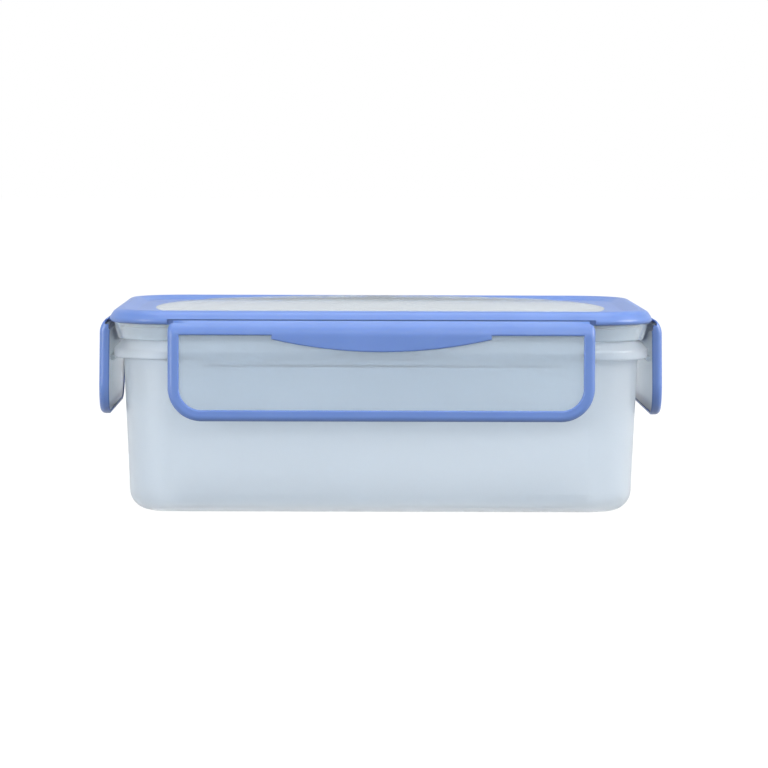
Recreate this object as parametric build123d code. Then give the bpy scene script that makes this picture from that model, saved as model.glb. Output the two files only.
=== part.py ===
from build123d import *
import os
from math import atan2, cos, degrees, radians, sin, sqrt

# Snap lid food container. Millimetres, +Z up, origin at the centre of the base, on the table.
# The long sides face -Y (front) and +Y (back), and the short sides face -X (left) and +X (right).
# Every ring-shaped feature follows the lid's plan outline, drawn in by an inset.

# lid outline in plan
LENGTH = 197.0
DEPTH = 131.0
CORNER = 24.0

# tub: drafted wall, floor, stacking foot, ledge that the clips latch under, and rim
BASE_INSET = 7.5
WALL_INSET = 5.0
WALL = 1.8
FLOOR = 2.0
BASE_FILLET = 7.5
FOOT_INSET = 22.0
FOOT_RECESS = 0.7
LEDGE_LOW = 55.6
LEDGE_HIGH = 58.9
LEDGE_INSET = 1.5
LEDGE_LIP = 1.4
LEDGE_GROOVE_TOP = 57.9
LEDGE_ROUND = 1.1
LEDGE_LOW_ROUND = 0.8
COLLAR_Z = 62.3
COLLAR_INSET = 4.6
RIM_Z = 67.0
RIM_ROUND = 0.5

# lid: clear plate with skirt and plug, soft frame moulded over its rim, and gasket channel
LID_TOP = 73.3
DISH_Z = 71.7
DISH_INSET = 9.0
DISH_ROUND = 2.5
CREST_INSET = 4.8
PLATE = 1.8
BAND_LOW = 68.4
BAND_EDGE = 70.1
BAND_LEAN = 1.9
BAND_THICK = 1.8
BAND_TOP_FILLET = 3.3
BAND_LOW_FILLET = 1.2
BAND_EDGE_FILLET = 1.2
CORE_TOP = 71.2
WINDOW_LENGTH = 168.0
WINDOW_DEPTH = 121.4
WINDOW_CORNER_AT = (69.0, 57.0)
WINDOW_ROUND = 7.0
SKIRT_LOW = 62.5
SKIRT_TOP_INSET = 1.4
SKIRT_LOW_INSET = 3.1
SKIRT_WALL = 1.15
SKIRT_ROUND = 0.35
PLUG_LOW = 63.5
PLUG_INSET = 7.0
PLUG_WALL = 1.4
PLUG_ROUND = 0.5
PLUG_FILLET = 1.0
CHANNEL_TOP = 68.9
GASKET_LOW = 67.1
GASKET_INSET = 3.4
GASKET_INNER_INSET = 6.9
GASKET_ROUND = 0.5

# clips, drawn in a frame with X along the lid's edge, Y outwards from that edge and Z up
FRONT_CLIP = 152.5
SIDE_CLIP = 89.0
CLIP_FOOT = 34.1
CLIP_FACE = 3.7
CLIP_FLARE = 0.8
CLIP_CORNER = 12.0
SHOULDER_Z = 64.2
SHOULDER_RADIUS = 7.0
CUT_ABOVE = 1.3
CLEAR_OF_LID = 0.35
STEP_Z = 67.4
CLIP_THICK = 3.7
BORDER = 4.1
BORDER_ROUND = 2.0
BACK_ROUND = 0.4
OPENING_ROUND = 0.6
PANEL_NEAR = 0.8
PAD_EDGE = 2.7
PLATE_NEAR = 1.9
PLATE_FAR = 3.3
PLATE_EDGE = 0.9
TOP_BAND_LOW = 64.9
PATCH_SHARE = 0.515
PATCH_END_Z = 63.5
PATCH_LOW = 59.0
LATCH_SHORTER = 25.5
LATCH_LOW = 53.5
LATCH_HIGH = 55.35
LATCH_TIP = -1.2
LATCH_CHAMFER = 0.8

# living hinges: a thin web between a lug on the lid and the clip's top edge
HINGE_OUT = 0.9
WEB_START = 0.1
WEB_END = 1.7
WEB_NEAR = 0.25
WEB_FAR = 0.85
WEB_NECK = 0.28
WEB_GROOVE = 0.4
WEB_SHORTER = 4.0
NOTCH_TOP = 70.4
NOTCH_SPARE = 0.35
NOTCH_DEPTH = 1.0
LUG_LOW = 69.1
LUG_HIGH = 70.0

CLEAR_OF_ALL = 40.0


def block(z_low, z_high, inset_low, inset_high=None):
    """Solid between two heights that follows the lid's outline, drafted from one inset to another."""
    lean = 0.0 if inset_high is None else inset_high - inset_low
    outline = RectangleRounded(LENGTH - 2 * inset_low, DEPTH - 2 * inset_low, CORNER - inset_low)
    taper = degrees(atan2(lean, z_high - z_low))
    return Pos(0, 0, z_low) * extrude(outline, z_high - z_low, taper=taper)


def edges_at(shape, z):
    """Edges that lie flat at one height."""
    return shape.edges().filter_by_position(Axis.Z, z - 0.001, z + 0.001)


def inner_inset(z):
    """Inset of the tub's inner wall at a height: the outer draft carried on, one wall further in."""
    return BASE_INSET + WALL - z * (BASE_INSET - WALL_INSET) / LEDGE_LOW


def on_ledge_rim(edge):
    """Whether an edge runs round the ledge's outermost line."""
    box = edge.bounding_box()
    far_x = max(-box.min.X, box.max.X) - (LENGTH / 2 - LEDGE_INSET)
    far_y = max(-box.min.Y, box.max.Y) - (DEPTH / 2 - LEDGE_INSET)
    return max(far_x, far_y) > -0.01


def tub():
    body = block(0, LEDGE_LOW, BASE_INSET, WALL_INSET)
    body = fillet(edges_at(body, 0), BASE_FILLET)
    body += block(LEDGE_LOW, LEDGE_HIGH, LEDGE_INSET)
    body += block(LEDGE_HIGH, COLLAR_Z, LEDGE_INSET, COLLAR_INSET)
    body += block(COLLAR_Z, RIM_Z, COLLAR_INSET)
    cavity = block(FLOOR, RIM_Z, inner_inset(FLOOR), inner_inset(RIM_Z))
    cavity = fillet(edges_at(cavity, FLOOR), BASE_FILLET - WALL)
    foot = block(0, FOOT_RECESS, FOOT_INSET, FOOT_INSET + FOOT_RECESS)
    groove = block(LEDGE_LOW, LEDGE_GROOVE_TOP, LEDGE_INSET + LEDGE_LIP)
    groove -= block(LEDGE_LOW, LEDGE_GROOVE_TOP, WALL_INSET)
    body = body - cavity - foot - groove
    body = fillet(edges_at(body, RIM_Z), RIM_ROUND)
    body = fillet(edges_at(body, LEDGE_HIGH), LEDGE_ROUND)
    return fillet(edges_at(body, LEDGE_LOW).filter_by(on_ledge_rim), LEDGE_LOW_ROUND)


def clip_places():
    """Name, width and placement of each clip."""
    half_length = LENGTH / 2
    half_depth = DEPTH / 2
    return [
        ("front", FRONT_CLIP, Pos(0, -half_depth, 0) * Rot(0, 0, 180)),
        ("back", FRONT_CLIP, Pos(0, half_depth, 0)),
        ("left", SIDE_CLIP, Pos(-half_length, 0, 0) * Rot(0, 0, 90)),
        ("right", SIDE_CLIP, Pos(half_length, 0, 0) * Rot(0, 0, -90)),
    ]


def bar(width, out_low, out_high, z_low, z_high):
    """Straight bar along a clip's width."""
    middle = Pos(0, (out_low + out_high) / 2, (z_low + z_high) / 2)
    return middle * Box(width, out_high - out_low, z_high - z_low)


def lid_solid():
    """The whole moulded lid, before it is divided into clear plate and soft frame."""
    rim = block(BAND_LOW, BAND_EDGE, 0) + block(BAND_EDGE, LID_TOP, 0, BAND_LEAN)
    rim = fillet(edges_at(rim, LID_TOP), BAND_TOP_FILLET)
    rim = fillet(edges_at(rim, BAND_EDGE), BAND_EDGE_FILLET)
    rim = fillet(edges_at(rim, BAND_LOW), BAND_LOW_FILLET)
    dish = block(DISH_Z, LID_TOP + 0.01, DISH_INSET, CREST_INSET)
    dish = fillet(edges_at(dish, DISH_Z), DISH_ROUND)
    rim = rim - dish
    for _, width, place in clip_places():
        rim -= place * bar(width + 2 * NOTCH_SPARE, -NOTCH_DEPTH, WEB_END, BAND_LOW, NOTCH_TOP)
        rim += place * bar(width - WEB_SHORTER, -BAND_THICK, WEB_START, LUG_LOW, LUG_HIGH)
    skirt = block(SKIRT_LOW, BAND_LOW, SKIRT_LOW_INSET, SKIRT_TOP_INSET)
    lid = rim + skirt + block(BAND_LOW, LUG_HIGH, BAND_THICK)
    skirt_inside = SKIRT_LOW_INSET + SKIRT_WALL, SKIRT_TOP_INSET + SKIRT_WALL
    channel = block(SKIRT_LOW, BAND_LOW, *skirt_inside)
    channel += block(BAND_LOW, CHANNEL_TOP, skirt_inside[1])
    channel -= block(PLUG_LOW, CHANNEL_TOP, PLUG_INSET)
    inside = block(SKIRT_LOW, DISH_Z - PLATE, PLUG_INSET + PLUG_WALL)
    inside = fillet(edges_at(inside, DISH_Z - PLATE), PLUG_FILLET)
    lid = lid - channel - inside
    lid = fillet(edges_at(lid, SKIRT_LOW), SKIRT_ROUND)
    return fillet(edges_at(lid, PLUG_LOW), PLUG_ROUND)


def window_outline():
    """Clear window in plan: a rectangle with bowed sides and rounded corners."""
    x, y = WINDOW_CORNER_AT
    corners = [(x, y), (-x, y), (-x, -y), (x, -y)]
    bows = [(0, WINDOW_DEPTH / 2), (-WINDOW_LENGTH / 2, 0), (0, -WINDOW_DEPTH / 2), (WINDOW_LENGTH / 2, 0)]
    ends = corners[1:] + corners[:1]
    sides = Curve() + [ThreePointArc(*points) for points in zip(corners, bows, ends)]
    face = make_face(sides)
    return fillet(face.vertices(), WINDOW_ROUND)


def core_zone():
    """Space taken by the clear plastic: the core under the rim, the window and the skirt."""
    zone = block(SKIRT_LOW - 1, CORE_TOP, BAND_THICK) + block(SKIRT_LOW - 1, BAND_LOW, 0)
    return zone + Pos(0, 0, CORE_TOP) * extrude(window_outline(), LID_TOP)


def gasket():
    ring = block(GASKET_LOW, CHANNEL_TOP, GASKET_INSET)
    ring -= block(GASKET_LOW, CHANNEL_TOP, GASKET_INNER_INSET)
    return fillet(edges_at(ring, GASKET_LOW), GASKET_ROUND)


def sheet(near, far, width):
    """Curved plate between two depths below a clip's outer face: round shoulder, then a flared flat."""
    flare = radians(CLIP_FLARE)
    centre = (CLIP_FACE - SHOULDER_RADIUS, SHOULDER_Z)
    drop = SHOULDER_Z - CLIP_FOOT + 1
    outer = SHOULDER_RADIUS - near
    inner = SHOULDER_RADIUS - far
    arc_out = CenterArc(centre, outer, CLIP_FLARE, 90 - CLIP_FLARE)
    arc_in = CenterArc(centre, inner, CLIP_FLARE, 90 - CLIP_FLARE)
    feet = [(end.X + drop * sin(flare), end.Y - drop * cos(flare)) for end in (arc_out @ 0, arc_in @ 0)]
    outline = arc_out + arc_in + Line(arc_out @ 1, arc_in @ 1)
    outline += Polyline(arc_out @ 0, feet[0], feet[1], arc_in @ 0)
    plate = extrude(Plane.YZ * make_face(outline), width / 2, both=True)
    plate -= bar(width + 1, -SHOULDER_RADIUS, CLEAR_OF_LID, SHOULDER_Z + CUT_ABOVE, LID_TOP)
    return plate - bar(width + 1, -SHOULDER_RADIUS, WEB_END, STEP_Z, LID_TOP)


def upright(face):
    """A clip's front-view outline as a prism through its whole thickness."""
    return extrude(Plane.XZ * face, CLEAR_OF_ALL / 2, both=True)


def clip_outline(width, edge, top):
    """Front view of a clip drawn in by an edge width: square above, round corners below."""
    low = CLIP_FOOT + edge
    face = Pos(0, (low + top) / 2) * Rectangle(width - 2 * edge, top - low)
    return fillet(face.vertices().sort_by(Axis.Y)[:2], CLIP_CORNER - edge)


def patch_outline(width):
    """Front view of the lens-shaped patch that hangs from the top band."""
    half = width * PATCH_SHARE / 2
    ends = (-half, PATCH_END_Z), (half, PATCH_END_Z)
    curve = ThreePointArc(ends[0], (0, PATCH_LOW), ends[1])
    sides = Polyline(ends[1], (half, LID_TOP), (-half, LID_TOP), ends[0])
    return make_face(curve + sides)


def clip_plate(width):
    """Clear plate that backs the whole clip, with a raised pad that fills the border's opening."""
    plate = sheet(PLATE_NEAR, PLATE_FAR, width) & upright(clip_outline(width, PLATE_EDGE, LID_TOP))
    pad = sheet(PANEL_NEAR, PLATE_NEAR, width) & upright(clip_outline(width, PAD_EDGE, LID_TOP))
    return plate + pad


def clip_panel(width):
    """Clear panel with the latch rib inside."""
    panel = clip_plate(width)
    latch_root = CLIP_FACE - PLATE_NEAR
    latch = bar(width - LATCH_SHORTER, LATCH_TIP, latch_root, LATCH_LOW, LATCH_HIGH)
    tip = latch.edges().filter_by(Axis.X).sort_by(Axis.Y)[:2].sort_by(Axis.Z)[0]
    return panel + chamfer(tip, LATCH_CHAMFER)


def depth_of(point):
    """How far a point lies below a clip's outer face."""
    out = point.Y - CLIP_FACE
    up = point.Z - SHOULDER_Z
    flare = radians(CLIP_FLARE)
    if up > SHOULDER_RADIUS * sin(flare):
        return SHOULDER_RADIUS - sqrt((out + SHOULDER_RADIUS) ** 2 + up**2)
    return SHOULDER_RADIUS * (1 - cos(flare)) - up * sin(flare) - out


def outline_edges(clip, depth, low, reach):
    """Edges at one depth whose ends stay within a lowest height and a farthest reach from the middle."""
    seam_z = SHOULDER_Z + SHOULDER_RADIUS * sin(radians(CLIP_FLARE))
    chosen = []
    for edge in clip.edges():
        box = edge.bounding_box()
        inside = box.min.Z > low - 0.01 and max(-box.min.X, box.max.X) < reach + 0.01
        along_hinge = box.min.Z > SHOULDER_Z + CUT_ABOVE and box.size.X > 1
        along_seam = abs(box.min.Z - seam_z) + abs(box.max.Z - seam_z) < 0.01
        on_surface = abs(depth_of(edge @ 0.5) - depth) < 0.02
        if inside and on_surface and not along_hinge and not along_seam:
            chosen.append(edge)
    return chosen


def clip_border(width, panel):
    """Soft border bead with the top band and the patch, moulded round the panel."""
    border = sheet(0, CLIP_THICK, width) & upright(clip_outline(width, 0, LID_TOP))
    border = fillet(outline_edges(border, 0, CLIP_FOOT, width / 2), BORDER_ROUND)
    border = fillet(outline_edges(border, CLIP_THICK, CLIP_FOOT, width / 2), BACK_ROUND)
    border -= upright(clip_outline(width, BORDER, TOP_BAND_LOW) - patch_outline(width))
    opening_edges = outline_edges(border, 0, CLIP_FOOT + BORDER, width / 2 - BORDER)
    border = fillet(opening_edges, OPENING_ROUND)
    hollow = sheet(PLATE_NEAR, CLIP_THICK + 1, width) & upright(clip_outline(width, PLATE_EDGE, LID_TOP))
    return border - hollow - panel


def clip_hinge(width):
    """Thin web, necked from below by a round groove along the pivot line."""
    web = sheet_without_cut(width - WEB_SHORTER)
    web &= bar(width, WEB_START, WEB_END, SHOULDER_Z, LID_TOP)
    reach = SHOULDER_RADIUS - WEB_NEAR
    out = HINGE_OUT - CLIP_FACE + SHOULDER_RADIUS
    groove_z = SHOULDER_Z + sqrt(reach**2 - out**2) - WEB_NECK - WEB_GROOVE
    groove = Rot(0, 90, 0) * Cylinder(WEB_GROOVE, width)
    return web - Pos(0, HINGE_OUT, groove_z) * groove


def sheet_without_cut(width):
    """The shoulder's curve carried inwards over the hinge, at the web's depth."""
    centre = (CLIP_FACE - SHOULDER_RADIUS, SHOULDER_Z)
    rings = Circle(SHOULDER_RADIUS - WEB_NEAR) - Circle(SHOULDER_RADIUS - WEB_FAR)
    return extrude(Plane.YZ * Pos(*centre) * rings, width / 2, both=True)


def save(node, shape):
    export_step(shape, f"parts/{node}.step")


def main():
    os.makedirs("parts", exist_ok=True)
    save("tub", tub())
    lid = lid_solid()
    zone = core_zone()
    save("lid_panel", lid & zone)
    save("lid_frame", lid - zone)
    save("gasket", gasket())
    for name, width, place in clip_places():
        panel = clip_panel(width)
        save(f"clip_{name}_panel", place * panel)
        save(f"clip_{name}_border", place * clip_border(width, panel))
        save(f"clip_{name}_hinge", place * clip_hinge(width))


main()
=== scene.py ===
from math import cos, pi, radians, sin

import bmesh
import bpy
from mathutils import Matrix, Vector


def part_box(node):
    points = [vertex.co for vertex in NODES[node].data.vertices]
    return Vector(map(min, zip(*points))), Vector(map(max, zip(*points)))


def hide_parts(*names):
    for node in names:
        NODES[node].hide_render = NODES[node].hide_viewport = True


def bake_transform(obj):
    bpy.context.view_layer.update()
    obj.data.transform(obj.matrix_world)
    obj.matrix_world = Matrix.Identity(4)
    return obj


# A snap lid food container: a clear tub, a lid with a soft blue rim, and four snap clips on living hinges.
# Metres, +Z up, front towards -Y. The CAD nodes are shown as they are, apart from the four hinge webs, which
# are drawn again here with enough rows of faces to bend.

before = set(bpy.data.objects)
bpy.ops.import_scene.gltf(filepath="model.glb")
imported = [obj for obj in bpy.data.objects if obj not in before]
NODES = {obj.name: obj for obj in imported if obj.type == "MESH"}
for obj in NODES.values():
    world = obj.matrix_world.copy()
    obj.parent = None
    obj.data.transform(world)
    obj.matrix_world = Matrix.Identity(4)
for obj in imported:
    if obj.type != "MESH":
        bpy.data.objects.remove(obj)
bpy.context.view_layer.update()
SIDES = {
    "front": Vector((0, -1, 0)),
    "back": Vector((0, 1, 0)),
    "left": Vector((-1, 0, 0)),
    "right": Vector((1, 0, 0)),
}
MM = 0.001

# living hinge: a web that falls outwards from the lid to the clip, thin at its neck
WEB_ROWS = 18
WEB_SPANS = 24
WEB_NEAR_THICK = 0.70 * MM
WEB_FAR_THICK = 0.95 * MM
WEB_NECK = 0.28 * MM
WEB_FALL = 1.30 * MM

# studio: lights as place, size in metres and power in watts, all aimed at the box's middle
LIGHTS = {
    "top_box": ((0, -0.15, 1.0), (1.2, 1.0), 8),
    "front_box": ((0.5, -1.5, 1.0), (0.9, 0.6), 8),
    "right_box": ((1.3, -0.3, 0.5), (0.7, 0.7), 18),
    "left_box": ((-1.2, -0.9, 0.3), (0.7, 0.5), 14),
}
LIGHT_AIM = (0, 0, 0.04)
# sky: brightness by the height of the direction looked in, from -1 straight down to 1 straight up
SKY = [(-0.4, 0.30), (-0.1, 1.0), (0.044, 1.0), (0.1, 0.73)]
FLOOR_HALF = 6.0
FLOOR_GLOW = 0.92

# camera: at the front, a little above the lid, almost level, with a long lens
CAMERA_AT = Vector((-0.00996, -1.27683, 0.13588))
CAMERA_YAW = radians(0.516)
CAMERA_PITCH = radians(4.175)
CAMERA_ROLL = radians(0.189)
CAMERA_LENS = 159.38
CAMERA_SENSOR = 36


def socket(node, name, value):
    """Sets one of a node's inputs to a constant."""
    node.inputs[name].default_value = value


def noise(tree, scale, detail, coordinates):
    """Noise texture in the object's own space; scale is in features per metre."""
    node = tree.nodes.new("ShaderNodeTexNoise")
    socket(node, "Scale", scale)
    socket(node, "Detail", detail)
    tree.links.new(coordinates, node.inputs["Vector"])
    return node.outputs["Fac"]


def spread(tree, value, low, high):
    """Maps a 0 to 1 pattern to a range."""
    node = tree.nodes.new("ShaderNodeMapRange")
    socket(node, "From Min", 0.0)
    socket(node, "From Max", 1.0)
    socket(node, "To Min", low)
    socket(node, "To Max", high)
    tree.links.new(value, node.inputs["Value"])
    return node.outputs["Result"]


def tones(tree, value, dark, light):
    """Mixes two colours by a pattern."""
    node = tree.nodes.new("ShaderNodeValToRGB")
    node.color_ramp.elements[0].position = 0.15
    node.color_ramp.elements[0].color = (*dark, 1)
    node.color_ramp.elements[1].position = 0.85
    node.color_ramp.elements[1].color = (*light, 1)
    tree.links.new(value, node.inputs["Fac"])
    return node.outputs["Color"]


def relief(tree, height, depth, strength, below=None):
    """Bump from a pattern, on top of another bump if there is one below."""
    node = tree.nodes.new("ShaderNodeBump")
    socket(node, "Distance", depth)
    socket(node, "Strength", strength)
    tree.links.new(height, node.inputs["Height"])
    if below is not None:
        tree.links.new(below, node.inputs["Normal"])
    return node.outputs["Normal"]


def new_material(name):
    """A node material, with its shader and the object's own coordinates to paint by."""
    material = bpy.data.materials.new(name)
    material.use_nodes = True
    tree = material.node_tree
    shader = tree.nodes["Principled BSDF"]
    coordinates = tree.nodes.new("ShaderNodeTexCoord").outputs["Object"]
    return material, tree, shader, coordinates


def soft_blue():
    """Satin elastomer: faint cloudiness in the colour, fine moulded grain, soft sheen."""
    material, tree, shader, at = new_material("blue_tpe")
    cloud = noise(tree, 60, 3, at)
    grain = noise(tree, 4200, 2, at)
    swell = noise(tree, 170, 1, at)
    colour = tones(tree, cloud, (0.086, 0.162, 0.405), (0.102, 0.184, 0.445))
    tree.links.new(colour, shader.inputs["Base Color"])
    tree.links.new(spread(tree, grain, 0.30, 0.40), shader.inputs["Roughness"])
    soft = relief(tree, swell, 0.10 * MM, 0.2)
    tree.links.new(relief(tree, grain, 0.015 * MM, 0.3, soft), shader.inputs["Normal"])
    socket(shader, "IOR", 1.49)
    socket(shader, "Subsurface Weight", 0.35)
    socket(shader, "Subsurface Radius", (0.3, 0.5, 1.0))
    socket(shader, "Subsurface Scale", 1.4 * MM)
    return material


def milky_clear(name, dark, light, rough, clear):
    """Clear polypropylene: slightly milky, with faint flow marks and a fine orange-peel gloss."""
    material, tree, shader, at = new_material(name)
    stretch = tree.nodes.new("ShaderNodeMapping")
    socket(stretch, "Scale", (0.35, 0.35, 1.0))
    tree.links.new(at, stretch.inputs["Vector"])
    flow = noise(tree, 22, 1, stretch.outputs["Vector"])
    peel = noise(tree, 700, 1, at)
    tree.links.new(tones(tree, flow, dark, light), shader.inputs["Base Color"])
    tree.links.new(spread(tree, peel, rough - 0.02, rough + 0.02), shader.inputs["Roughness"])
    tree.links.new(relief(tree, peel, 0.006 * MM, 0.1), shader.inputs["Normal"])
    socket(shader, "IOR", 1.45)
    socket(shader, "Transmission Weight", clear)
    socket(shader, "Specular IOR Level", 0.3)
    return material


def silicone():
    """Translucent silicone, a little cloudy, with a dull skin."""
    material, tree, shader, at = new_material("gasket_silicone")
    cloud = noise(tree, 200, 3, at)
    grain = noise(tree, 2500, 1, at)
    tree.links.new(tones(tree, cloud, (0.55, 0.60, 0.66), (0.62, 0.67, 0.72)), shader.inputs["Base Color"])
    tree.links.new(spread(tree, grain, 0.42, 0.55), shader.inputs["Roughness"])
    tree.links.new(relief(tree, cloud, 0.05 * MM, 0.2), shader.inputs["Normal"])
    socket(shader, "IOR", 1.41)
    socket(shader, "Transmission Weight", 0.35)
    socket(shader, "Subsurface Weight", 0.3)
    socket(shader, "Subsurface Scale", 1.5 * MM)
    return material


def dress(node, material):
    """Gives a CAD node its material."""
    mesh = NODES[node].data
    mesh.materials.clear()
    mesh.materials.append(material)


def web_section(t):
    """Drop of the web's top face and the web's thickness, from its lid edge (0) to its clip edge (1)."""
    drop = WEB_FALL * t * (0.7 + 0.3 * t)
    full = WEB_NEAR_THICK + (WEB_FAR_THICK - WEB_NEAR_THICK) * t
    return drop, WEB_NECK + (full - WEB_NECK) * abs(cos(pi * t)) ** 1.5


def hinge_web(side, material):
    """Living hinge: a thin curved web with a narrow neck, drawn with enough rows of faces to bend."""
    low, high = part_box(f"clip_{side}_hinge")
    out = SIDES[side]
    along = out.cross(Vector((0, 0, 1)))
    near, far = sorted((low.dot(out), high.dot(out)), key=abs)
    reach = abs((high - low).dot(along)) / 2
    mesh = bmesh.new()
    rings = []
    for i in range(WEB_SPANS + 1):
        place = along * (reach * (2 * i / WEB_SPANS - 1))
        top, bottom = [], []
        for j in range(WEB_ROWS + 1):
            t = j / WEB_ROWS
            drop, thick = web_section(t)
            crown = high.z - drop
            at = place + out * (near + (far - near) * t)
            top.append(mesh.verts.new((at.x, at.y, crown)))
            bottom.append(mesh.verts.new((at.x, at.y, crown - thick)))
        rings.append(top + bottom[::-1])
    for first, second in zip(rings, rings[1:]):
        count = len(first)
        for j in range(count):
            k = (j + 1) % count
            mesh.faces.new((first[j], first[k], second[k], second[j]))
    for ring in (rings[0], rings[-1]):
        for j in range(WEB_ROWS):
            mesh.faces.new((ring[j], ring[j + 1], ring[-2 - j], ring[-1 - j]))
    bmesh.ops.recalc_face_normals(mesh, faces=mesh.faces[:])
    data = bpy.data.meshes.new(f"clip_{side}_web")
    mesh.to_mesh(data)
    mesh.free()
    data.polygons.foreach_set("use_smooth", [True] * len(data.polygons))
    data.materials.append(material)
    web = bpy.data.objects.new(f"clip_{side}_web", data)
    bpy.context.scene.collection.objects.link(web)
    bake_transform(web)
    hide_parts(f"clip_{side}_hinge")


def add_floor():
    """Plain white floor that glows like a light table, so that shadows hardly show.
    Diffuse rays don't see it, or its glow would wash out the box's sides."""
    material, _, shader, _ = new_material("floor")
    socket(shader, "Base Color", (0.12, 0.12, 0.12, 1))
    socket(shader, "Roughness", 0.9)
    socket(shader, "Specular IOR Level", 0.0)
    socket(shader, "Emission Color", (1, 1, 1, 1))
    socket(shader, "Emission Strength", FLOOR_GLOW)
    mesh = bmesh.new()
    bmesh.ops.create_grid(mesh, x_segments=8, y_segments=8, size=FLOOR_HALF)
    data = bpy.data.meshes.new("floor")
    mesh.to_mesh(data)
    mesh.free()
    data.materials.append(material)
    floor = bpy.data.objects.new("floor", data)
    bpy.context.scene.collection.objects.link(floor)
    floor.visible_diffuse = False


def add_light(name, at, size, power):
    """White soft box."""
    data = bpy.data.lights.new(name, "AREA")
    data.shape = "RECTANGLE"
    data.size, data.size_y = size
    data.energy = power
    light = bpy.data.objects.new(name, data)
    light.location = at
    light.rotation_euler = (Vector(LIGHT_AIM) - Vector(at)).to_track_quat("-Z", "Y").to_euler()
    bpy.context.scene.collection.objects.link(light)


def sky(tree):
    """White sky, full at the horizon, a little dimmer overhead and much darker below."""
    direction = tree.nodes.new("ShaderNodeTexCoord").outputs["Generated"]
    split = tree.nodes.new("ShaderNodeSeparateXYZ")
    tree.links.new(direction, split.inputs["Vector"])
    height = tree.nodes.new("ShaderNodeMapRange")
    socket(height, "From Min", -1.0)
    socket(height, "From Max", 1.0)
    tree.links.new(split.outputs["Z"], height.inputs["Value"])
    shade = tree.nodes.new("ShaderNodeValToRGB")
    stops = shade.color_ramp.elements
    while len(stops) < len(SKY):
        stops.new(0.5)
    for stop, (up, level) in zip(stops, SKY):
        stop.position = (up + 1) / 2
        stop.color = (level, level, level, 1)
    tree.links.new(height.outputs["Result"], shade.inputs["Fac"])
    tree.links.new(shade.outputs["Color"], tree.nodes["Background"].inputs["Strength"])


def add_studio():
    """White sky and four soft boxes: overhead, in front and at both sides, the sides being the strongest."""
    scene = bpy.context.scene
    scene.view_settings.view_transform = "Standard"
    world = bpy.data.worlds.new("studio")
    world.use_nodes = True
    socket(world.node_tree.nodes["Background"], "Color", (1, 1, 1, 1))
    sky(world.node_tree)
    scene.world = world
    for name, (at, size, power) in LIGHTS.items():
        add_light(name, at, size, power)


def add_camera():
    """Camera aimed by yaw and pitch, then rolled about its own line of sight."""
    level_reach = cos(CAMERA_PITCH)
    forward = Vector((sin(CAMERA_YAW) * level_reach, cos(CAMERA_YAW) * level_reach, -sin(CAMERA_PITCH)))
    level = forward.cross(Vector((0, 0, 1))).normalized()
    upright = level.cross(forward)
    right = cos(CAMERA_ROLL) * level + sin(CAMERA_ROLL) * upright
    up = cos(CAMERA_ROLL) * upright - sin(CAMERA_ROLL) * level
    data = bpy.data.cameras.new("camera")
    data.lens = CAMERA_LENS
    data.sensor_width = CAMERA_SENSOR
    camera = bpy.data.objects.new("camera", data)
    turn = Matrix((right, up, -forward)).transposed().to_4x4()
    camera.matrix_world = Matrix.Translation(CAMERA_AT) @ turn
    bpy.context.scene.collection.objects.link(camera)
    bpy.context.scene.camera = camera


def main():
    blue = soft_blue()
    tub = milky_clear("clear_pp_tub", (0.78, 0.845, 0.91), (0.85, 0.91, 0.965), 0.33, 0.80)
    lid = milky_clear("clear_pp_lid", (0.81, 0.895, 0.965), (0.865, 0.94, 1.0), 0.24, 0.80)
    clip = milky_clear("clear_pp_clip", (0.80, 0.885, 0.97), (0.86, 0.94, 1.0), 0.34, 0.86)
    seal = silicone()
    dress("tub", tub)
    dress("lid_panel", lid)
    dress("lid_frame", blue)
    dress("gasket", seal)
    for side in SIDES:
        dress(f"clip_{side}_panel", clip)
        dress(f"clip_{side}_border", blue)
        dress(f"clip_{side}_hinge", blue)
        hinge_web(side, blue)
    add_floor()
    add_studio()
    add_camera()


main()
